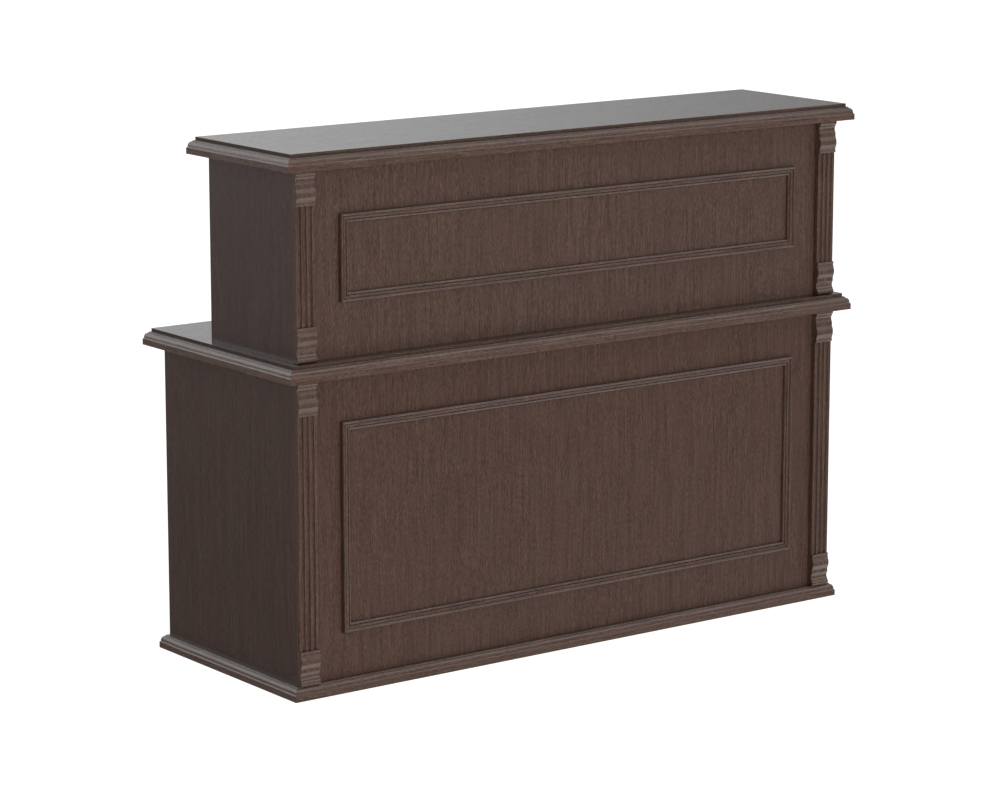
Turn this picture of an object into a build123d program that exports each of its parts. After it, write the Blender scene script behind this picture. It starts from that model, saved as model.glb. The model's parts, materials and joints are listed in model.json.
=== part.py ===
from build123d import *
import os

# Two-tier panelled counter, such as a speaker's desk or a reception desk.
# The public stands in front, at -Y, and the staff side at +Y is open.
# Millimetres, +Z up. The origin is on the floor, under the middle of the outer box.

os.makedirs("parts", exist_ok=True)

# ---- Driving dimensions ----
COUNTER_WIDTH = 1600
COUNTER_HEIGHT = 1200
COUNTER_TOP_DEPTH = 408
WORKTOP_HEIGHT = 745
WORKTOP_DEPTH = 610
SLAB_THICKNESS = 38
BASE_THICKNESS = 30
PANEL_THICKNESS = 22

# Overhang of both slabs past the body. The front is measured from the pilasters' faces.
SLAB_SIDE_OVERHANG = 35
SLAB_FRONT_OVERHANG = 30
SLAB_REAR_OVERHANG = 37
# Overhang of the base past the body, measured in the same way.
BASE_SIDE_OVERHANG = 18.5
BASE_FRONT_OVERHANG = 11
BASE_REAR_OVERHANG = 16.5

# Edge moulding round the two slabs and the base.
EDGE_WIDTH = 15
EDGE_HEIGHT = 30

# Pilasters.
PILASTER_WIDTH = 50
PILASTER_THICKNESS = 12
FLUTE_RADIUS = 3.75
FLUTE_PITCH = 14
FLUTE_COUNT = 3
END_BLOCK_HEIGHT = 77.5
END_BLOCK_GAP = 1

# Panel frames: a rectangle of picture moulding on the front of each tier.
FRAME_MOULDING_WIDTH = 20
FRAME_SIDE_MARGIN = 119
FRAME_TOP_MARGIN = 103
UPPER_FRAME_BOTTOM_MARGIN = 122
LOWER_FRAME_BOTTOM_MARGIN = 102

# Cam fittings and dowels.
CAM_RADIUS = 7.4
CAM_DEPTH = 14
CAM_DISTANCE = 34
CAM_SLOT_WIDTH = 7.4
CAM_SLOT_DEPTH = 7
CAM_RECESS_LENGTH = 8
CAM_RECESS_WIDTH = 1.4
CAM_RECESS_DEPTH = 2
BOLT_RADIUS = 3.4
BOLT_HEAD_DEPTH = 30.5
BOLT_REACH = 11
DOWEL_RADIUS = 3.9
DOWEL_DEPTH = 20
DOWEL_REACH = 11.5
DOWEL_SPACING = 32
FITTING_CLEARANCE = 0.1
BORE_END_CLEARANCE = 0.5
FITTING_END_DISTANCE = 60
FRONT_FITTING_PITCH = 430
FRONT_FITTING_COUNT = 4
# Heights of the cams between front and side panels, from the middle of each tier.
LOWER_CORNER_OFFSETS = (-220, 0, 220)
UPPER_CORNER_OFFSETS = (-110, 110)

# Levelling feet.
PAD_RADIUS = 19
PAD_HEIGHT = 7
PAD_EDGE_RADIUS = 1.5
PAD_RECESS_RADIUS = 21
PAD_RECESS_DEPTH = 7.5
SCREW_RADIUS = 4
SCREW_TOP = 25
SCREW_POINT_CHAMFER = 0.8
HEX_ACROSS_FLATS = 4
HEX_DEPTH = 5
INSERT_RADIUS = 6
INSERT_TOP = 26
INSERT_CLEARANCE = 0.35
ACCESS_BORE_RADIUS = 5
CAP_FLANGE_RADIUS = 8
CAP_FLANGE_HEIGHT = 1.2
CAP_PLUG_LENGTH = 3
FOOT_WALL_DISTANCE = 48

# ---- Levels and planes that follow from them ----
FRONT = -WORKTOP_DEPTH / 2
BODY_HALF_WIDTH = COUNTER_WIDTH / 2 - SLAB_SIDE_OVERHANG
INNER_HALF_WIDTH = BODY_HALF_WIDTH - PANEL_THICKNESS
PILASTER_FACE = FRONT + SLAB_FRONT_OVERHANG
PANEL_FACE = PILASTER_FACE + PILASTER_THICKNESS
PANEL_BACK = PANEL_FACE + PANEL_THICKNESS
LOWER_BODY_BACK = FRONT + WORKTOP_DEPTH - SLAB_REAR_OVERHANG
UPPER_BODY_BACK = FRONT + COUNTER_TOP_DEPTH - SLAB_REAR_OVERHANG
BASE_WIDTH = 2 * (BODY_HALF_WIDTH + BASE_SIDE_OVERHANG)
BASE_FRONT = PILASTER_FACE - BASE_FRONT_OVERHANG
BASE_DEPTH = LOWER_BODY_BACK + BASE_REAR_OVERHANG - BASE_FRONT
WORKTOP_UNDERSIDE = WORKTOP_HEIGHT - SLAB_THICKNESS
COUNTER_TOP_UNDERSIDE = COUNTER_HEIGHT - SLAB_THICKNESS

LEFT = -1
RIGHT = 1
SIDES = {"left": LEFT, "right": RIGHT}

nodes = {}


# ---- Moulded strips ----
def edge_moulding_profile():
    """Section of the slab and base edge: Y runs inward from the outer edge, Z up."""
    with BuildSketch(Plane.YZ) as section:
        with BuildLine():
            Polyline((0, 13.4), (0, 0), (EDGE_WIDTH, 0), (EDGE_WIDTH, EDGE_HEIGHT))
            Polyline((EDGE_WIDTH, EDGE_HEIGHT), (10.8, EDGE_HEIGHT), (10.6, 29.2))
            ThreePointArc((10.6, 29.2), (10, 28), (8.8, 27.5))
            Polyline((8.8, 27.5), (8.2, 27.3))
            ThreePointArc((8.2, 27.3), (4.5, 24.3), (2.7, 19.4))
            Polyline((2.7, 19.4), (2.4, 17))
            ThreePointArc((2.4, 17), (1.7, 14.7), (0, 13.4))
        make_face()
    return section.sketch


def frame_moulding_profile():
    """Section of the panel moulding: Y runs inward from its outer edge, Z is proud of the panel."""
    width = FRAME_MOULDING_WIDTH
    with BuildSketch(Plane.YZ) as section:
        with BuildLine():
            Polyline((0, 8.5), (0, 0), (width, 0), (width, 3.6))
            ThreePointArc((width, 3.6), (18.83, 6.43), (16, 7.6))
            Polyline((16, 7.6), (15.1, 7.1), (14.6, 4.6), (13.8, 4.6), (13.4, 7.4))
            Polyline((13.4, 7.4), (7.6, 8), (6.8, 7.1), (5.8, 8.6))
            ThreePointArc((5.8, 8.6), (2.9, 10.8), (0, 8.5))
        make_face()
    return section.sketch


def mitred_strip(profile, outer_length):
    """A moulding along X whose outer edge is on Y = 0, cut to 45 degrees at both ends."""
    strip = extrude(profile, outer_length / 2, both=True)
    for end in (LEFT, RIGHT):
        mitre = Plane(origin=(end * outer_length / 2, 0, 0), z_dir=(end, 1, 0))
        strip = split(strip, bisect_by=mitre, keep=Keep.BOTTOM)
    return strip


def moulded_slab(name, width, depth, front, bottom, thickness):
    """A board with four mitred moulded strips glued round its edges."""
    middle = front + depth / 2
    core = Box(width - 2 * EDGE_WIDTH, depth - 2 * EDGE_WIDTH, thickness)
    nodes[f"{name}_board"] = Pos(0, middle, bottom + thickness / 2) * core
    long_strip = mitred_strip(edge_moulding_profile(), width)
    short_strip = mitred_strip(edge_moulding_profile(), depth)
    nodes[f"{name}_edge_front"] = Pos(0, front, bottom) * long_strip
    nodes[f"{name}_edge_back"] = Pos(0, front + depth, bottom) * Rot(Z=180) * long_strip
    nodes[f"{name}_edge_right"] = Pos(width / 2, middle, bottom) * Rot(Z=90) * short_strip
    nodes[f"{name}_edge_left"] = Pos(-width / 2, middle, bottom) * Rot(Z=-90) * short_strip


def panel_frame(tier, bottom, top):
    """Four mitred mouldings in a rectangle on the front panel's face."""
    width = 2 * (BODY_HALF_WIDTH - FRAME_SIDE_MARGIN)
    height = top - bottom
    middle = (top + bottom) / 2
    on_panel = Rot(X=90)
    long_strip = on_panel * mitred_strip(frame_moulding_profile(), width)
    short_strip = on_panel * mitred_strip(frame_moulding_profile(), height)
    nodes[f"{tier}_frame_bottom"] = Pos(0, PANEL_FACE, bottom) * long_strip
    nodes[f"{tier}_frame_top"] = Pos(0, PANEL_FACE, top) * Rot(Y=180) * long_strip
    nodes[f"{tier}_frame_left"] = Pos(-width / 2, PANEL_FACE, middle) * Rot(Y=90) * short_strip
    nodes[f"{tier}_frame_right"] = Pos(width / 2, PANEL_FACE, middle) * Rot(Y=-90) * short_strip


# ---- Pilasters ----
def pilaster_shaft(length):
    """A flat strip with half-round flutes, standing on Z = 0 with its back on Y = 0."""
    shaft = Pos(0, -PILASTER_THICKNESS / 2, length / 2) * Box(PILASTER_WIDTH, PILASTER_THICKNESS, length)
    first = -(FLUTE_COUNT - 1) / 2 * FLUTE_PITCH
    for i in range(FLUTE_COUNT):
        flute = Cylinder(FLUTE_RADIUS, length)
        shaft -= Pos(first + i * FLUTE_PITCH, -PILASTER_THICKNESS, length / 2) * flute
    return shaft


def end_block():
    """A moulded block with its outer end on Z = 0, rising towards the shaft, back on Y = 0."""
    section_plane = Plane(origin=(0, -PILASTER_THICKNESS, 0), x_dir=(0, -1, 0), z_dir=(-1, 0, 0))
    back = -PILASTER_THICKNESS
    height = END_BLOCK_HEIGHT
    with BuildSketch(section_plane) as section:
        with BuildLine():
            Polyline((3.2, height), (back, height), (back, END_BLOCK_GAP), (3.6, END_BLOCK_GAP))
            ThreePointArc((3.6, END_BLOCK_GAP), (6.2, 6.4), (3.6, 12))
            Polyline((3.6, 12), (2.6, 12.8), (2.6, 15))
            ThreePointArc((2.6, 15), (1, 17.2), (0, 19.8))
            Polyline((0, 19.8), (0, 23.4))
            Spline((0, 23.4), (0.7, 25.8), (2.3, 29.2), (3, 31.8))
            Polyline((3, 31.8), (3, 39.4))
            Spline((3, 39.4), (3.8, 41.6), (6.1, 46.8), (7, 50))
            Polyline((7, 50), (7, 58.6))
            Spline((7, 58.6), (5.2, 63.4), (3.6, 68.4), (3, 72.2))
            ThreePointArc((3, 72.2), (4.5, 75), (3.2, height))
        make_face()
    return extrude(section.sketch, PILASTER_WIDTH / 2, both=True)


def pilaster(name, side, bottom, top):
    """A fluted shaft between a foot block and a cap block, flush with the body's side."""
    x = side * (BODY_HALF_WIDTH - PILASTER_WIDTH / 2)
    length = top - bottom - 2 * END_BLOCK_HEIGHT
    nodes[name] = Pos(x, PANEL_FACE, bottom + END_BLOCK_HEIGHT) * pilaster_shaft(length)
    nodes[f"{name}_foot"] = Pos(x, PANEL_FACE, bottom) * end_block()
    nodes[f"{name}_cap"] = Pos(x, PANEL_FACE, top) * mirror(end_block(), about=Plane.XY)


# ---- Cam fittings ----
# Every joint has its own frame: origin in the middle of the panel's edge, +Z into the
# piece that the edge meets, and +Y out of the panel's inner face.
def cam_housing():
    """A cam disc with a hook slot for the bolt's head and a cross recess in its face."""
    face = PANEL_THICKNESS / 2
    disc = Cylinder(CAM_RADIUS, CAM_DEPTH, rotation=(90, 0, 0))
    disc = Pos(0, face - CAM_DEPTH / 2, -CAM_DISTANCE) * disc
    slot = Box(CAM_SLOT_WIDTH, CAM_SLOT_DEPTH, 2 * CAM_RADIUS)
    slot_bottom = face - CAM_DEPTH
    disc -= Pos(0, slot_bottom + CAM_SLOT_DEPTH / 2, -CAM_DISTANCE + CAM_RADIUS) * slot
    for angle in (0, 90):
        groove = Rot(Y=angle) * Box(CAM_RECESS_LENGTH, CAM_RECESS_DEPTH, CAM_RECESS_WIDTH)
        disc -= Pos(0, face - CAM_RECESS_DEPTH / 2, -CAM_DISTANCE) * groove
    return disc


def upright_pin(radius, depth, reach):
    """A round pin along Z, from depth below the joint to reach above it."""
    return Pos(0, 0, (reach - depth) / 2) * Cylinder(radius, depth + reach)


def cam_panel_cut():
    """What a cam fitting removes from the panel: the disc's bore and the bolt's bore."""
    depth = CAM_DEPTH + FITTING_CLEARANCE
    bore = Cylinder(CAM_RADIUS + FITTING_CLEARANCE, depth, rotation=(90, 0, 0))
    bore = Pos(0, (PANEL_THICKNESS - depth) / 2, -CAM_DISTANCE) * bore
    return bore + upright_pin(BOLT_RADIUS + FITTING_CLEARANCE, CAM_DISTANCE, 0)


def cam_mate_cut():
    """The blind bore for the bolt's thread in the piece that the edge meets."""
    return upright_pin(BOLT_RADIUS + FITTING_CLEARANCE, 0, BOLT_REACH + BORE_END_CLEARANCE)


def cut(node, joint, tool):
    """Removes a tool, placed at a joint, from a node."""
    nodes[node] = nodes[node] - joint * tool


fittings = {"cam_housings": [], "cam_bolts": [], "dowels": []}


def fit_cam(panel, mate, joint):
    """One cam fitting that pulls a panel's edge onto its mate."""
    fittings["cam_housings"].append(joint * cam_housing())
    fittings["cam_bolts"].append(joint * upright_pin(BOLT_RADIUS, BOLT_HEAD_DEPTH, BOLT_REACH))
    cut(panel, joint, cam_panel_cut())
    cut(mate, joint, cam_mate_cut())


def fit_dowel(panel, mate, joint):
    """One wooden dowel that locates a panel's edge on its mate."""
    fittings["dowels"].append(joint * upright_pin(DOWEL_RADIUS, DOWEL_DEPTH, DOWEL_REACH))
    bore_radius = DOWEL_RADIUS + FITTING_CLEARANCE
    depth = DOWEL_DEPTH + BORE_END_CLEARANCE
    reach = DOWEL_REACH + BORE_END_CLEARANCE
    bore = upright_pin(bore_radius, depth, reach)
    cut(panel, joint, bore)
    cut(mate, joint, bore)


def join(panel, mate, origin, inner, outward, offsets):
    """Cams at the offsets along a panel's edge, each with a dowel on the side of the middle."""
    along = Vector(*inner).cross(Vector(*outward))
    for offset in offsets:
        towards_middle = -1 if offset > 0 else 1
        for distance, fit in ((offset, fit_cam), (offset + towards_middle * DOWEL_SPACING, fit_dowel)):
            place = Vector(*origin) + along * distance
            fit(panel, mate, Location(Plane(origin=place, x_dir=along, z_dir=outward)))


def join_tier(tier, below, above, bottom, top, body_back, corner_offsets):
    """All the joints of one tier: panels to the boards above and below, front to sides."""
    mid_depth = (PANEL_FACE + body_back) / 2
    reach = (body_back - PANEL_FACE) / 2 - FITTING_END_DISTANCE
    front = f"{tier}_front_panel"
    front_middle = PANEL_FACE + PANEL_THICKNESS / 2
    first = -(FRONT_FITTING_COUNT - 1) / 2 * FRONT_FITTING_PITCH
    front_offsets = [first + i * FRONT_FITTING_PITCH for i in range(FRONT_FITTING_COUNT)]
    for mate, level, outward in ((below, bottom, (0, 0, -1)), (above, top, (0, 0, 1))):
        join(front, mate, (0, front_middle, level), (0, 1, 0), outward, front_offsets)
        for name, side in SIDES.items():
            origin = (side * (BODY_HALF_WIDTH - PANEL_THICKNESS / 2), mid_depth, level)
            join(f"{tier}_{name}_side_panel", mate, origin, (-side, 0, 0), outward, (-reach, reach))
    for name, side in SIDES.items():
        origin = (side * INNER_HALF_WIDTH, front_middle, (bottom + top) / 2)
        join(front, f"{tier}_{name}_side_panel", origin, (0, 1, 0), (side, 0, 0), corner_offsets)


# ---- Tiers ----
def tier_body(tier, bottom, top, body_back, frame_bottom_margin):
    """Front panel between two side panels, with pilasters and a panel frame."""
    height = top - bottom
    middle = (top + bottom) / 2
    depth = body_back - PANEL_FACE
    front = Box(2 * INNER_HALF_WIDTH, PANEL_THICKNESS, height)
    nodes[f"{tier}_front_panel"] = Pos(0, PANEL_FACE + PANEL_THICKNESS / 2, middle) * front
    for name, side in SIDES.items():
        x = side * (BODY_HALF_WIDTH - PANEL_THICKNESS / 2)
        board = Box(PANEL_THICKNESS, depth, height)
        nodes[f"{tier}_{name}_side_panel"] = Pos(x, PANEL_FACE + depth / 2, middle) * board
        pilaster(f"{tier}_{name}_pilaster", side, bottom, top)
    panel_frame(tier, bottom + frame_bottom_margin, top - FRAME_TOP_MARGIN)


# ---- Levelling feet ----
def levelling_pad():
    """The round plastic pad that stands on the floor, moulded round the screw's end."""
    pad = Pos(0, 0, PAD_HEIGHT / 2) * Cylinder(PAD_RADIUS, PAD_HEIGHT)
    return fillet(pad.edges().filter_by(GeomType.CIRCLE), PAD_EDGE_RADIUS)


def levelling_screw():
    """A threaded rod, modelled plain, with a hex socket in its top for a key from above."""
    length = SCREW_TOP - PAD_HEIGHT
    rod = Pos(0, 0, PAD_HEIGHT + length / 2) * Cylinder(SCREW_RADIUS, length)
    rod = chamfer(rod.edges().filter_by(GeomType.CIRCLE).sort_by(Axis.Z)[-1], SCREW_POINT_CHAMFER)
    hexagon = RegularPolygon(HEX_ACROSS_FLATS / 2, 6, major_radius=False)
    socket = extrude(hexagon, HEX_DEPTH)
    return rod - Pos(0, 0, SCREW_TOP - HEX_DEPTH) * socket


def levelling_insert():
    """The threaded sleeve that is pressed into the base board above the pad's recess."""
    length = INSERT_TOP - PAD_RECESS_DEPTH
    sleeve = Cylinder(INSERT_RADIUS, length) - Cylinder(SCREW_RADIUS + INSERT_CLEARANCE, length)
    return Pos(0, 0, PAD_RECESS_DEPTH + length / 2) * sleeve


def access_cap():
    """A push-in cap over the hex-key hole, its flange resting on the base board."""
    flange = Pos(0, 0, CAP_FLANGE_HEIGHT / 2) * Cylinder(CAP_FLANGE_RADIUS, CAP_FLANGE_HEIGHT)
    flange = fillet(flange.edges().filter_by(GeomType.CIRCLE).sort_by(Axis.Z)[-1], CAP_FLANGE_HEIGHT / 2)
    plug = Pos(0, 0, -CAP_PLUG_LENGTH / 2) * Cylinder(ACCESS_BORE_RADIUS - FITTING_CLEARANCE, CAP_PLUG_LENGTH)
    return Pos(0, 0, BASE_THICKNESS) * (flange + plug)


def foot_cut():
    """What a levelling foot removes from the base board: recess, sleeve bore, key hole."""
    recess = Pos(0, 0, PAD_RECESS_DEPTH / 2) * Cylinder(PAD_RECESS_RADIUS, PAD_RECESS_DEPTH)
    sleeve_bore = Pos(0, 0, INSERT_TOP / 2) * Cylinder(INSERT_RADIUS + FITTING_CLEARANCE, INSERT_TOP)
    key_hole = Pos(0, 0, BASE_THICKNESS / 2) * Cylinder(ACCESS_BORE_RADIUS, BASE_THICKNESS)
    return recess + sleeve_bore + key_hole


def levelling_feet():
    """Six feet under the base board, two rows of three."""
    columns = {"left": LEFT, "middle": 0, "right": RIGHT}
    rows = {"front": PANEL_BACK + FOOT_WALL_DISTANCE, "rear": LOWER_BODY_BACK - FOOT_WALL_DISTANCE}
    inserts = []
    caps = []
    for row, y in rows.items():
        for column, side in columns.items():
            place = Pos(side * (INNER_HALF_WIDTH - FOOT_WALL_DISTANCE), y, 0)
            nodes[f"levelling_pad_{row}_{column}"] = place * levelling_pad()
            nodes[f"levelling_screw_{row}_{column}"] = place * levelling_screw()
            inserts.append(place * levelling_insert())
            caps.append(place * access_cap())
            cut("base_board", place, foot_cut())
    nodes["levelling_inserts"] = Compound(children=inserts)
    nodes["levelling_access_caps"] = Compound(children=caps)


# ---- The whole counter ----
moulded_slab("base", BASE_WIDTH, BASE_DEPTH, BASE_FRONT, 0, BASE_THICKNESS)
moulded_slab("worktop", COUNTER_WIDTH, WORKTOP_DEPTH, FRONT, WORKTOP_UNDERSIDE, SLAB_THICKNESS)
moulded_slab("counter_top", COUNTER_WIDTH, COUNTER_TOP_DEPTH, FRONT, COUNTER_TOP_UNDERSIDE, SLAB_THICKNESS)
tier_body("lower", BASE_THICKNESS, WORKTOP_UNDERSIDE, LOWER_BODY_BACK, LOWER_FRAME_BOTTOM_MARGIN)
tier_body("upper", WORKTOP_HEIGHT, COUNTER_TOP_UNDERSIDE, UPPER_BODY_BACK, UPPER_FRAME_BOTTOM_MARGIN)
join_tier("lower", "base_board", "worktop_board", BASE_THICKNESS, WORKTOP_UNDERSIDE,
          LOWER_BODY_BACK, LOWER_CORNER_OFFSETS)
join_tier("upper", "worktop_board", "counter_top_board", WORKTOP_HEIGHT, COUNTER_TOP_UNDERSIDE,
          UPPER_BODY_BACK, UPPER_CORNER_OFFSETS)
levelling_feet()
for name, pieces in fittings.items():
    nodes[name] = Compound(children=pieces)

for name, shape in nodes.items():
    export_step(shape, f"parts/{name}.step")
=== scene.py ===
import json
import math
from fnmatch import fnmatch

import bpy
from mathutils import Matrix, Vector


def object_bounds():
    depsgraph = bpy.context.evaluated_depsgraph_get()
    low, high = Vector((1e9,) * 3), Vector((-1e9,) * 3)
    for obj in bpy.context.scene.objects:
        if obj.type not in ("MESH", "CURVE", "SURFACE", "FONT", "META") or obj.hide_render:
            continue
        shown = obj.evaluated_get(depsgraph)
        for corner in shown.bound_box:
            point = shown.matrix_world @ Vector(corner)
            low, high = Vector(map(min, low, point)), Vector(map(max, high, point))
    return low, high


# Looks for the two-tier panelled counter: wenge veneer and mouldings, metal fittings and
# plastic feet, on a pale floor in soft studio light. Metres, in the frame's own axes.

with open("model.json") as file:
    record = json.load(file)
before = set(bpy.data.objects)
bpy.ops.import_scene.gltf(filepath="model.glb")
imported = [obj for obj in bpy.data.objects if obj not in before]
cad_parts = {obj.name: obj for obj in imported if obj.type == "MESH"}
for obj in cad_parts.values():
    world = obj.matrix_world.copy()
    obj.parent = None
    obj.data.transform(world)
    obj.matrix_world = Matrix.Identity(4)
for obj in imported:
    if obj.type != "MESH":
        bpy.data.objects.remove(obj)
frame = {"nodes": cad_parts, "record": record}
nodes = frame["nodes"]
cad_low, cad_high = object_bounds()
centre = (cad_low + cad_high) / 2

# Camera: the photograph's viewing angle, about the middle of the counter.
CAMERA_AZIMUTH = -36.75     # degrees
CAMERA_ELEVATION = 10.92    # degrees
CAMERA_DISTANCE = 8.2
CAMERA_AIM_OFFSET = Vector((-0.019, 0, -0.066))
CAMERA_LENS = 126.5         # mm
CAMERA_SENSOR = 36          # mm
CAMERA_REACH = 200

# Axes of the grain, as positions in a vector.
X, Y, Z = 0, 1, 2


# ---- Shader helpers ----
def add_node(tree, kind, inputs=None, **properties):
    """Adds a shader node. Each input is a socket to link, or a value to set."""
    made = tree.nodes.new(kind)
    for key, value in properties.items():
        setattr(made, key, value)
    for key, value in (inputs or {}).items():
        if isinstance(value, bpy.types.NodeSocket):
            tree.links.new(value, made.inputs[key])
        else:
            made.inputs[key].default_value = value
    return made


def new_material(name):
    """An empty node material and its output node."""
    material = bpy.data.materials.new(name)
    material.use_nodes = True
    material.node_tree.nodes.clear()
    output = material.node_tree.nodes.new("ShaderNodeOutputMaterial")
    return material, material.node_tree, output


def vector_math(tree, operation, first, second):
    """The vector result of a vector operation."""
    made = add_node(tree, "ShaderNodeVectorMath", {0: first, 1: second}, operation=operation)
    return made.outputs["Vector"]


def math_node(tree, operation, first, second):
    """The result of a number operation."""
    made = add_node(tree, "ShaderNodeMath", {0: first, 1: second}, operation=operation)
    return made.outputs["Value"]


def noise(tree, vector, scale, detail=2.0, roughness=0.5):
    """Grey noise, 0 to 1 round 0.5."""
    inputs = {"Vector": vector, "Scale": scale, "Detail": detail, "Roughness": roughness}
    return add_node(tree, "ShaderNodeTexNoise", inputs).outputs["Fac"]


def map_range(tree, value, low, high, to_low, to_high):
    """A number carried from one range to another, held at the ends."""
    inputs = {"Value": value, "From Min": low, "From Max": high, "To Min": to_low, "To Max": to_high}
    return add_node(tree, "ShaderNodeMapRange", inputs).outputs["Result"]


def smooth_step(tree, value, low, high, to_high):
    """A number that rises smoothly from 0 to to_high."""
    inputs = {"Value": value, "From Min": low, "From Max": high, "To Min": 0.0, "To Max": to_high}
    made = add_node(tree, "ShaderNodeMapRange", inputs, interpolation_type="SMOOTHSTEP")
    return made.outputs["Result"]


def colour_ramp(tree, value, stops):
    """A colour from a list of (position, (r, g, b)) stops."""
    made = add_node(tree, "ShaderNodeValToRGB", {"Fac": value})
    elements = made.color_ramp.elements
    while len(elements) < len(stops):
        elements.new(0.5)
    for element, (position, colour) in zip(elements, stops):
        element.position = position
        element.color = (*colour, 1)
    return made.outputs["Color"]


def mix_colour(tree, factor, first, second):
    """Two colours mixed, from the first at 0 to the second at 1."""
    # The mix node's sockets for colours are its inputs 6 and 7 and its output 2.
    made = add_node(tree, "ShaderNodeMix", data_type="RGBA")
    for place, value in ((0, factor), (6, first), (7, second)):
        if isinstance(value, bpy.types.NodeSocket):
            tree.links.new(value, made.inputs[place])
        else:
            made.inputs[place].default_value = value
    return made.outputs[2]


def scaled(tree, value, factor):
    """A number times a fixed factor."""
    return math_node(tree, "MULTIPLY", value, factor)


def bumped(tree, height, strength, distance):
    """A bump node over a height."""
    inputs = {"Strength": strength, "Distance": distance, "Height": height}
    return add_node(tree, "ShaderNodeBump", inputs)


def surface(tree, output, colour, gloss, bump, **values):
    """The principled surface of a material. The values are plain numbers, by socket name."""
    inputs = {"Base Color": colour, "Roughness": gloss, "Normal": bump.outputs["Normal"], **values}
    shader = add_node(tree, "ShaderNodeBsdfPrincipled", inputs)
    tree.links.new(shader.outputs["BSDF"], output.inputs["Surface"])


# ---- Wenge ----
WENGE_DARK = (0.034, 0.0175, 0.0130)
WENGE_MIDDLE = (0.066, 0.0370, 0.0270)
WENGE_LIGHT = (0.106, 0.067, 0.050)
WENGE_OLIVE = (0.066, 0.050, 0.030, 1)
WENGE_PLUM = (0.074, 0.039, 0.038, 1)
PORE_COLOUR = (0.014, 0.007, 0.005, 1)
# Edges: the colour of wear, and partly a painted highlight where the edges catch light.
WORN_AND_HIGHLIT_COLOUR = (0.13, 0.085, 0.07, 1)
# Painted shade: the colour that the corners between mouldings are made darker towards.
CREVICE_SHADE_COLOUR = (0.008, 0.004, 0.003, 1)

# Noise that makes the grain: its stretch along the grain, scale, detail and roughness. The
# first three add up to the figure of the wood by their shares.
DASHES, DASHES_SHARE = (0.16, 760, 2.0, 0.6), 0.49
LINES, LINES_SHARE = (0.014, 640, 3.0, 0.6), 0.44
BANDS, BANDS_SHARE = (0.02, 90, 2.0, 0.5), 0.07
PORES = (0.05, 1000, 1.0, 0.5)
PORES_RANGE = (0.60, 0.70)
PORES_DEPTH = 0.55
FIGURE_SPREAD = 0.11
SEED_STEP = (0.37, 0.71, 0.53)

# Patches and streaks where the wood turns to olive on one side of 0.5 and to plum on the other.
PATCHES, PATCHES_SHARE = (0.3, 16, 2.0, 0.6), 0.6
STREAKS, STREAKS_SHARE = (0.04, 110, 1.0, 0.5), 0.4
HUE_REACH = 0.12
HUE_CHANGE = 0.35
HUE_MIX = 0.6

# The very gentle bend of the grain.
BEND_SCALE = 3.0
BEND_SIZE = 0.006

# Bump: strength and distance, and how high the lines stand against the depth of the pores.
GRAIN_BUMP = (0.25, 0.0002)
LINES_HEIGHT = 0.4

# Softened edges, and the wear on them between two cosines of the normal's turn, lightened partly as a
# painted highlight.
EDGE_RADIUS = 0.0007
EDGE_SAMPLES = 4
WEAR_AND_HIGHLIGHT_RANGE = (0.995, 0.85)
WEAR_AND_HIGHLIGHT_MIX = 0.2

# Painted shade in the corners, from ambient occlusion: how far it looks round, and the openness over which
# it fades.
CREVICE_REACH = 0.006
CREVICE_SAMPLES = 6
CREVICE_RANGE = (0.3, 0.72)
CREVICE_SHADE_MIX = 0.75

# Gloss: its swing with the lines, and what pores and worn edges add to the roughness.
LACQUER_IOR = 1.5
LACQUER_ROUGHNESS = 0.3
LINES_RANGE = (0.3, 0.7)
GLOSS_SWING = 0.05
PORES_ROUGHER = 0.12
WORN_ROUGHER = -0.05


def object_place(tree):
    """The node's own coordinates, in metres."""
    return add_node(tree, "ShaderNodeTexCoord").outputs["Object"]


def stretched(tree, place, grain, stretch):
    """Coordinates squeezed along the grain, so that noise runs in streaks."""
    squeeze = [1.0, 1.0, 1.0]
    squeeze[grain] = stretch
    return vector_math(tree, "MULTIPLY", place, tuple(squeeze))


def grain_place(tree, seed):
    """Object coordinates, moved by a seed and very gently bent."""
    place = object_place(tree)
    moved = vector_math(tree, "ADD", place, tuple(step * seed for step in SEED_STEP))
    inputs = {"Vector": moved, "Scale": BEND_SCALE, "Detail": 1.0}
    bend = add_node(tree, "ShaderNodeTexNoise", inputs).outputs["Color"]
    bend = vector_math(tree, "SUBTRACT", bend, (0.5, 0.5, 0.5))
    bend = vector_math(tree, "MULTIPLY", bend, (BEND_SIZE, BEND_SIZE, BEND_SIZE))
    return vector_math(tree, "ADD", moved, bend)


def grain_noise(tree, place, grain, kind):
    """Noise of one kind, such as DASHES, that runs along the grain."""
    stretch, scale, detail, roughness = kind
    return noise(tree, stretched(tree, place, grain, stretch), scale, detail, roughness)


def painted_crevice_shade(tree):
    """The mask of painted shade: 1 on open surfaces, falling towards 0 in the corners where mouldings
    meet, from ambient occlusion.
    """
    inputs = {"Distance": CREVICE_REACH}
    occlusion = add_node(tree, "ShaderNodeAmbientOcclusion", inputs, samples=CREVICE_SAMPLES).outputs["AO"]
    return map_range(tree, occlusion, *CREVICE_RANGE, 0.0, 1.0)


def edge_wear_and_highlight(tree, rounded):
    """1 along outside edges, where the rounded normal leaves the true one: the mask of wear and of a
    painted highlight.
    """
    true_normal = add_node(tree, "ShaderNodeNewGeometry").outputs["Normal"]
    normals = {0: rounded, 1: true_normal}
    turn = add_node(tree, "ShaderNodeVectorMath", normals, operation="DOT_PRODUCT").outputs["Value"]
    return map_range(tree, turn, *WEAR_AND_HIGHLIGHT_RANGE, 0.0, 1.0)


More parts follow.
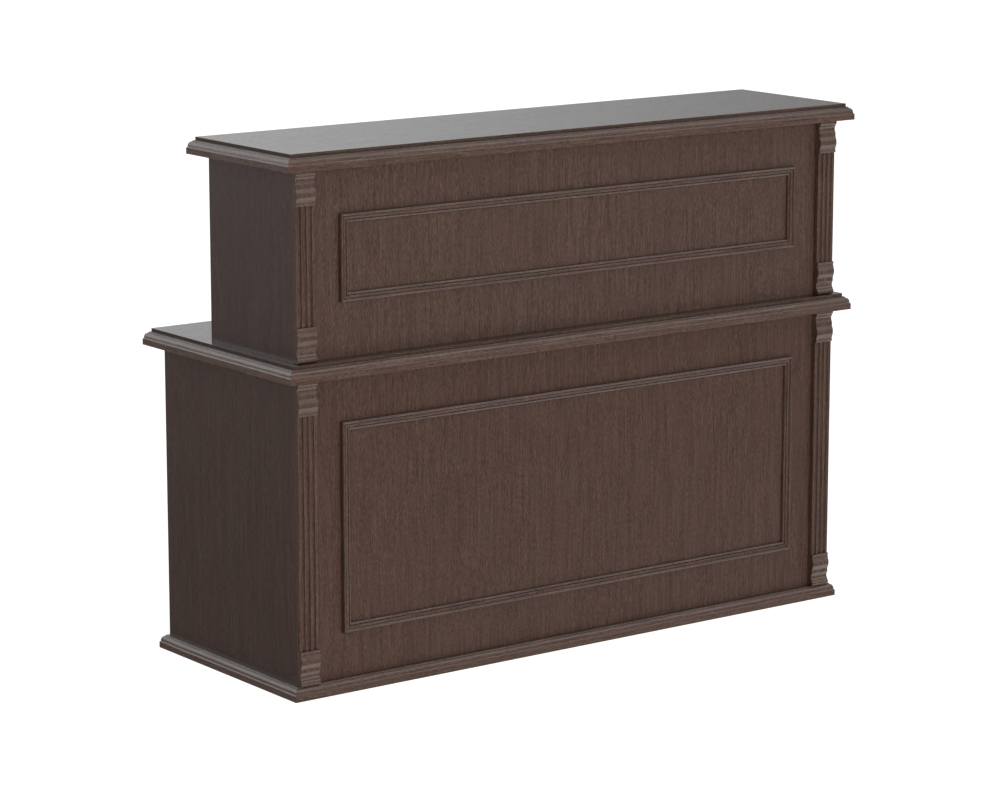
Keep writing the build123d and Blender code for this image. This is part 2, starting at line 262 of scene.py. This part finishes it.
def wenge(name, grain, seed, tone, roughness=LACQUER_ROUGHNESS, contrast=1.0):
    """Satin-lacquered wenge with fine straight grain along one axis, with painted shade in its corners and
    a painted highlight on its edges.
    """
    material, tree, output = new_material(name)
    place = grain_place(tree, seed)

    # Colour: dark and light along the grain.
    dashes = grain_noise(tree, place, grain, DASHES)
    lines = grain_noise(tree, place, grain, LINES)
    bands = grain_noise(tree, place, grain, BANDS)
    figure = scaled(tree, dashes, DASHES_SHARE)
    figure = math_node(tree, "ADD", figure, scaled(tree, lines, LINES_SHARE))
    figure = math_node(tree, "ADD", figure, scaled(tree, bands, BANDS_SHARE))
    spread = FIGURE_SPREAD / contrast
    stops = [(0.5 - spread, WENGE_DARK), (0.5, WENGE_MIDDLE), (0.5 + spread, WENGE_LIGHT)]
    stops = [(position, tuple(t * c for t, c in zip(tone, colour))) for position, colour in stops]
    colour = colour_ramp(tree, figure, stops)

    # Colour: olive and plum tints.
    patches = grain_noise(tree, place, grain, PATCHES)
    streaks = grain_noise(tree, place, grain, STREAKS)
    hue = scaled(tree, patches, PATCHES_SHARE)
    hue = math_node(tree, "ADD", hue, scaled(tree, streaks, STREAKS_SHARE))
    olive = map_range(tree, hue, 0.5, 0.5 + HUE_REACH, 0.0, HUE_CHANGE)
    plum = map_range(tree, hue, 0.5, 0.5 - HUE_REACH, 0.0, HUE_CHANGE)
    colour = mix_colour(tree, olive, colour, mix_colour(tree, HUE_MIX, colour, WENGE_OLIVE))
    colour = mix_colour(tree, plum, colour, mix_colour(tree, HUE_MIX, colour, WENGE_PLUM))

    # Colour: open pores.
    pores = grain_noise(tree, place, grain, PORES)
    pores = map_range(tree, pores, *PORES_RANGE, 0.0, 1.0)
    colour = mix_colour(tree, scaled(tree, pores, PORES_DEPTH), colour, PORE_COLOUR)

    # Bump over softened edges, which also show wear, lightened partly as a painted highlight; painted
    # shade makes the corners darker.
    height = math_node(tree, "SUBTRACT", scaled(tree, lines, LINES_HEIGHT), pores)
    bump = bumped(tree, height, *GRAIN_BUMP)
    softened = add_node(tree, "ShaderNodeBevel", {"Radius": EDGE_RADIUS}, samples=EDGE_SAMPLES)
    softened = softened.outputs["Normal"]
    tree.links.new(softened, bump.inputs["Normal"])
    # Wear along the edges, lightened partly as a painted highlight.
    worn_and_highlit = edge_wear_and_highlight(tree, softened)
    colour = mix_colour(tree, scaled(tree, worn_and_highlit, WEAR_AND_HIGHLIGHT_MIX), colour, WORN_AND_HIGHLIT_COLOUR)
    # Painted shade: the colour made darker where ambient occlusion finds the corners between mouldings.
    crevice_shaded = mix_colour(tree, CREVICE_SHADE_MIX, colour, CREVICE_SHADE_COLOUR)
    colour = mix_colour(tree, painted_crevice_shade(tree), crevice_shaded, colour)

    # Gloss: duller in the pores, brighter on worn edges.
    gloss = map_range(tree, lines, *LINES_RANGE, roughness + GLOSS_SWING, roughness - GLOSS_SWING)
    gloss = math_node(tree, "ADD", gloss, scaled(tree, pores, PORES_ROUGHER))
    gloss = math_node(tree, "ADD", gloss, scaled(tree, worn_and_highlit, WORN_ROUGHER))
    surface(tree, output, colour, gloss, bump, IOR=LACQUER_IOR)
    return material


def grain_axis(node):
    """The direction in which the wood of a node runs."""
    if "_frame_" in node:
        return X if node.endswith(("top", "bottom")) else Z
    if "_edge_" in node:
        return X if node.endswith(("front", "back")) else Y
    if node.endswith("_board"):
        return X
    return Z


# ---- Fittings ----
ZINC_COLOUR, ZINC_ROUGHNESS = (0.50, 0.50, 0.51), 0.42
STEEL_COLOUR, STEEL_ROUGHNESS = (0.62, 0.62, 0.63), 0.28
PLASTIC_COLOUR = (0.012, 0.012, 0.012)
BEECH_DARK = (0.42, 0.26, 0.14)
BEECH_LIGHT = (0.62, 0.43, 0.26)
BEECH_LINES = (0.05, 900, 3.0, 0.6)
BEECH_SEED = 3


def metal(name, colour, roughness):
    """Cast or plated metal with a fine uneven skin."""
    material, tree, output = new_material(name)
    place = object_place(tree)
    skin = noise(tree, place, 1400, 3.0, 0.6)
    cloud = noise(tree, place, 160, 2.0, 0.5)
    dark = tuple(0.72 * c for c in colour)
    tone = colour_ramp(tree, cloud, [(0.35, dark), (0.65, colour)])
    gloss = map_range(tree, skin, 0.3, 0.7, roughness - 0.07, roughness + 0.1)
    surface(tree, output, tone, gloss, bumped(tree, skin, 0.3, 0.0001), Metallic=1.0)
    return material


def plastic(name, colour):
    """Matt moulded plastic with a fine texture."""
    material, tree, output = new_material(name)
    place = object_place(tree)
    texture = noise(tree, place, 2200, 2.0, 0.6)
    cloud = noise(tree, place, 90, 2.0, 0.5)
    light = tuple(1.6 * c for c in colour)
    tone = colour_ramp(tree, cloud, [(0.35, colour), (0.65, light)])
    gloss = map_range(tree, texture, 0.3, 0.7, 0.45, 0.6)
    surface(tree, output, tone, gloss, bumped(tree, texture, 0.35, 0.0001))
    return material


def beech(name):
    """Plain pale beech for the dowels, grain upright."""
    material, tree, output = new_material(name)
    lines = grain_noise(tree, grain_place(tree, BEECH_SEED), Z, BEECH_LINES)
    tone = colour_ramp(tree, lines, [(0.3, BEECH_DARK), (0.7, BEECH_LIGHT)])
    gloss = map_range(tree, lines, 0.3, 0.7, 0.6, 0.75)
    surface(tree, output, tone, gloss, bumped(tree, lines, 0.4, 0.0002))
    return material


# ---- Putting materials on the nodes ----
def dress(node, material):
    """Gives a CAD node one material."""
    mesh = nodes[node].data
    mesh.materials.clear()
    mesh.materials.append(material)


# The wood of each kind of piece: patterns of the node's name, and its tone and other looks.
# The tones partly paint the light: the side panels darker and bluer as painted shade and reflection,
# the left and right edges lighter as a painted highlight, and the tops and the two front panels
# toned for the light that falls on them. The first kind that fits counts, and PLAIN_LOOKS is for the rest.
WOOD_LOOKS_WITH_PAINTED_LIGHT = [
    (("*_cap", "*_foot"), {"tone": (1.03, 1.01, 1.01), "contrast": 1.2}),
    # Partly painted light: the tops toned darker and greyer under their gloss.
    (("*_board",), {"tone": (0.8, 0.82, 0.82), "roughness": 0.2}),
    # Painted shade and reflection: the side panels darker and bluer than the front.
    (("upper_*_side_panel",), {"tone": (0.80, 0.83, 0.99)}),
    (("lower_*_side_panel",), {"tone": (0.81, 0.81, 0.88)}),
    # Partly painted light: the two front panels toned apart for the light on them.
    (("lower_front_panel",), {"tone": (0.87, 0.79, 0.80)}),
    (("upper_front_panel",), {"tone": (0.93, 0.92, 0.94)}),
    # Painted highlight: the left and right edges lighter than the front and back edges.
    (("*_edge_left", "*_edge_right"), {"tone": (1.33, 1.36, 1.42), "contrast": 1.15}),
    (("*_edge_front", "*_edge_back"), {"tone": (1.06, 1.03, 1.05), "contrast": 1.15}),
    (("*_frame_*",), {"tone": (1.03, 1.02, 1.08), "contrast": 1.1}),
]
PLAIN_LOOKS = {"tone": (1.0, 0.97, 0.97), "contrast": 1.1}


def wood_of(node, seed):
    """The wood of one node: its grain, tone, contrast and gloss."""
    fitting = [looks for patterns, looks in WOOD_LOOKS_WITH_PAINTED_LIGHT if any(fnmatch(node, p) for p in patterns)]
    looks = fitting[0] if fitting else PLAIN_LOOKS
    return wenge(f"wenge_{node}", grain_axis(node), seed, **looks)


def dress_counter():
    """Every node gets its own wood, or the metal or plastic of its slot."""
    slots = {piece["node"]: piece["material_slot"] for piece in frame["record"]["subparts"]}
    fittings = {
        "zinc_alloy": metal("zinc_alloy", ZINC_COLOUR, ZINC_ROUGHNESS),
        "bright_steel": metal("bright_steel", STEEL_COLOUR, STEEL_ROUGHNESS),
        "black_plastic": plastic("black_plastic", PLASTIC_COLOUR),
        "beech": beech("beech"),
    }
    for seed, node in enumerate(sorted(nodes)):
        slot = slots[node]
        dress(node, fittings[slot] if slot in fittings else wood_of(node, seed))


dress_counter()


# ---- Studio ----
WHITE = (1, 1, 1, 1)
FLOOR_COLOUR = (0.3, 0.3, 0.3, 1)
FLOOR_GLOW = 0.95
FLOOR_REACH = 60
FLOOR_DROP = 0.0003
BACKDROP_GLOW = 1.0
KEY_PLACE = (-0.8, -8.0, 1.6)
KEY_SIZE = 4.0
KEY_POWER = 470     # watts
SKY_COLOUR = (0.97, 0.99, 1.0, 1)
SKY_BASE = 0.06
# Heights, in a direction of length 1, between which the fields that end at the horizon fade in.
HORIZON = (-0.1, 0.04)
# Bright fields of the sky: middle, half width where it starts and where it is full in degrees,
# value, and whether it ends at the horizon.
SKY_FIELDS = [
    ((-0.02, 0.93, 0.35), 55, 20, 1.05, True),
    ((-0.5, 0.8, 0.3), 35, 12, 1.3, True),
    ((0.45, -0.35, 0.9), 45, 25, 1.2, False),
    ((0.585, -0.72, 0.42), 33, 12, 0.5, True),
    ((0.65, -0.2, -0.73), 40, 21, 1.5, False),
]


def build_floor():
    """A wide, plain, pale floor, which glows a little, as a light table does.

    It lies a hair below the base, and is clear from underneath, so that the feet can be seen.
    """
    reach, low = FLOOR_REACH, -FLOOR_DROP
    corners = [(-reach, -reach, low), (reach, -reach, low), (reach, reach, low), (-reach, reach, low)]
    mesh = bpy.data.meshes.new("floor")
    mesh.from_pydata(corners, [], [(0, 1, 2, 3)])
    floor = bpy.data.objects.new("floor", mesh)
    bpy.context.scene.collection.objects.link(floor)
    material, tree, output = new_material("floor")
    lit = add_node(tree, "ShaderNodeBsdfDiffuse", {"Color": FLOOR_COLOUR})
    glow = add_node(tree, "ShaderNodeEmission", {"Color": WHITE, "Strength": FLOOR_GLOW})
    both = add_node(tree, "ShaderNodeAddShader", {0: lit.outputs["BSDF"], 1: glow.outputs["Emission"]})
    underneath = add_node(tree, "ShaderNodeNewGeometry").outputs["Backfacing"]
    clear = add_node(tree, "ShaderNodeBsdfTransparent")
    sides = {0: underneath, 1: both.outputs["Shader"], 2: clear.outputs["BSDF"]}
    one_sided = add_node(tree, "ShaderNodeMixShader", sides)
    tree.links.new(one_sided.outputs["Shader"], output.inputs["Surface"])
    mesh.materials.append(material)
    floor.visible_glossy = False


def build_world():
    """Soft studio light from the fields of the sky, and a plain white backdrop to look at."""
    world = bpy.data.worlds.new("studio")
    bpy.context.scene.world = world
    world.use_nodes = True
    tree = world.node_tree
    tree.nodes.clear()
    direction = add_node(tree, "ShaderNodeTexCoord").outputs["Generated"]
    height = add_node(tree, "ShaderNodeSeparateXYZ", {"Vector": direction}).outputs["Z"]
    above = smooth_step(tree, height, *HORIZON, 1.0)
    total = None
    for middle, start, full, value, ends_at_horizon in SKY_FIELDS:
        inputs = {0: direction, 1: tuple(Vector(middle).normalized())}
        facing = add_node(tree, "ShaderNodeVectorMath", inputs, operation="DOT_PRODUCT")
        rim, plateau = math.cos(math.radians(start)), math.cos(math.radians(full))
        field = smooth_step(tree, facing.outputs["Value"], rim, plateau, value)
        if ends_at_horizon:
            field = math_node(tree, "MULTIPLY", field, above)
        total = field if total is None else math_node(tree, "ADD", total, field)
    total = math_node(tree, "ADD", total, SKY_BASE)
    sky = add_node(tree, "ShaderNodeBackground", {"Color": SKY_COLOUR, "Strength": total})
    backdrop = add_node(tree, "ShaderNodeBackground", {"Color": WHITE, "Strength": BACKDROP_GLOW})
    seen = add_node(tree, "ShaderNodeLightPath").outputs["Is Camera Ray"]
    parts = {0: seen, 1: sky.outputs["Background"], 2: backdrop.outputs["Background"]}
    both = add_node(tree, "ShaderNodeMixShader", parts)
    output = add_node(tree, "ShaderNodeOutputWorld")
    tree.links.new(both.outputs["Shader"], output.inputs["Surface"])


def area_light(name, place, target, size, power):
    """A square soft light, aimed at a point, that leaves no mirror image of itself."""
    lamp = bpy.data.lights.new(name, "AREA")
    lamp.shape = "SQUARE"
    lamp.size = size
    lamp.energy = power
    light = bpy.data.objects.new(name, lamp)
    light.location = place
    light.rotation_mode = "QUATERNION"
    light.rotation_quaternion = (Vector(target) - Vector(place)).to_track_quat("-Z", "Y")
    light.visible_glossy = False
    bpy.context.scene.collection.objects.link(light)


def build_camera():
    """The camera of the photograph's view."""
    azimuth = math.radians(CAMERA_AZIMUTH)
    elevation = math.radians(CAMERA_ELEVATION)
    back = Vector((
        math.sin(azimuth) * math.cos(elevation),
        -math.cos(azimuth) * math.cos(elevation),
        math.sin(elevation),
    ))
    camera = bpy.data.objects.new("camera", bpy.data.cameras.new("camera"))
    camera.data.lens = CAMERA_LENS
    camera.data.sensor_width = CAMERA_SENSOR
    camera.data.clip_end = CAMERA_REACH
    camera.location = centre + back * CAMERA_DISTANCE
    look = centre + CAMERA_AIM_OFFSET - camera.location
    camera.rotation_mode = "QUATERNION"
    camera.rotation_quaternion = look.to_track_quat("-Z", "Y")
    bpy.context.scene.collection.objects.link(camera)
    bpy.context.scene.camera = camera


build_floor()
build_world()
area_light("key", KEY_PLACE, centre, KEY_SIZE, KEY_POWER)
build_camera()
bpy.context.scene.view_settings.view_transform = "Standard"
